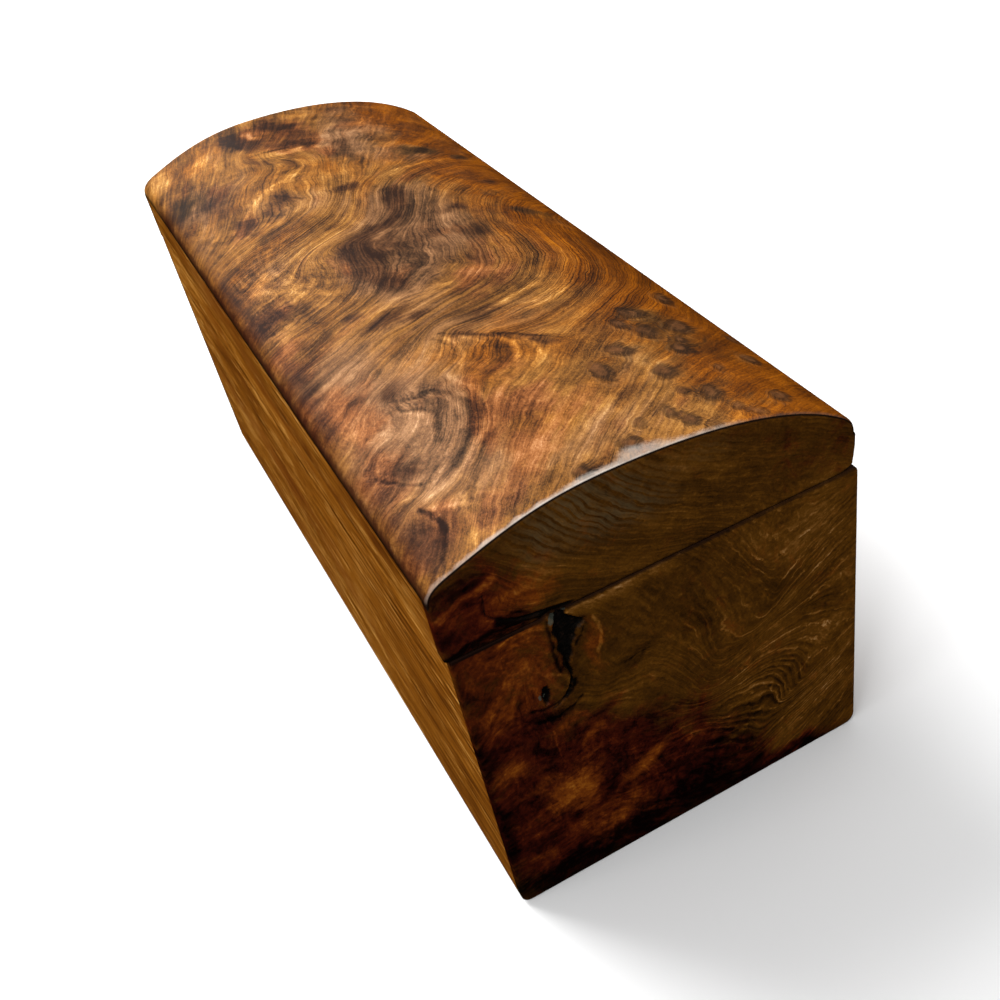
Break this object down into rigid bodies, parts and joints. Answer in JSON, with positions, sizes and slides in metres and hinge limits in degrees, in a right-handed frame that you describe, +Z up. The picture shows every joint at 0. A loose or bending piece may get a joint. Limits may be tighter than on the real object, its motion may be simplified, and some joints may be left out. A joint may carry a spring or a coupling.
{
  "type": "burl wood box",
  "caption": "Long keepsake box faced in burl wood, with plain-grained sides and a low domed lid that opens on two small brass hinges at the back.",
  "frame": {"origin": "middle of the underside of the whole box, on the surface it stands on", "axes": "+X across the box towards the hinges, with the opening front at -X; +Y along the box towards the far end; +Z up"},
  "size_m": [0.082, 0.1986, 0.091],
  "materials": {
    "top_burl": "swirling thuya burl with eyes and dark knots under satin-gloss lacquer",
    "end_burl": "deep red-brown to golden burl under gloss lacquer",
    "trunk_wood": "golden straight-grained wood under satin lacquer",
    "inner_wood": "plain wood, sanded and waxed",
    "hinge_brass": "rolled brass, lightly tarnished",
    "screw_brass": "turned brass, slotted heads"
  },
  "bodies": {
    "box_body": {"front_board": "trunk_wood", "back_board": "trunk_wood", "near_end_board": "inner_wood", "far_end_board": "inner_wood", "bottom_board": "inner_wood", "near_end_burl": "end_burl", "far_end_burl": "end_burl", "hinge_near_body_leaf": "hinge_brass", "hinge_near_pin": "hinge_brass", "screw_near_body_1": "screw_brass", "screw_near_body_2": "screw_brass", "hinge_far_body_leaf": "hinge_brass", "hinge_far_pin": "hinge_brass", "screw_far_body_1": "screw_brass", "screw_far_body_2": "screw_brass"},
    "lid": {"lid_front_rail": "trunk_wood", "lid_back_rail": "trunk_wood", "lid_near_end_core": "inner_wood", "lid_far_end_core": "inner_wood", "lid_dome_board": "inner_wood", "lid_top_burl": "top_burl", "lid_near_end_burl": "end_burl", "lid_far_end_burl": "end_burl", "hinge_near_lid_leaf": "hinge_brass", "screw_near_lid_1": "screw_brass", "screw_near_lid_2": "screw_brass", "hinge_far_lid_leaf": "hinge_brass", "screw_far_lid_1": "screw_brass", "screw_far_lid_2": "screw_brass"}
  },
  "joints": [
    {"name": "lid_hinge", "type": "hinge", "parent": "box_body", "child": "lid", "pos_m": [0.0395, 0, 0.0685], "axis": [0, 1, 0], "range_deg": [0, 105]}
  ]
}
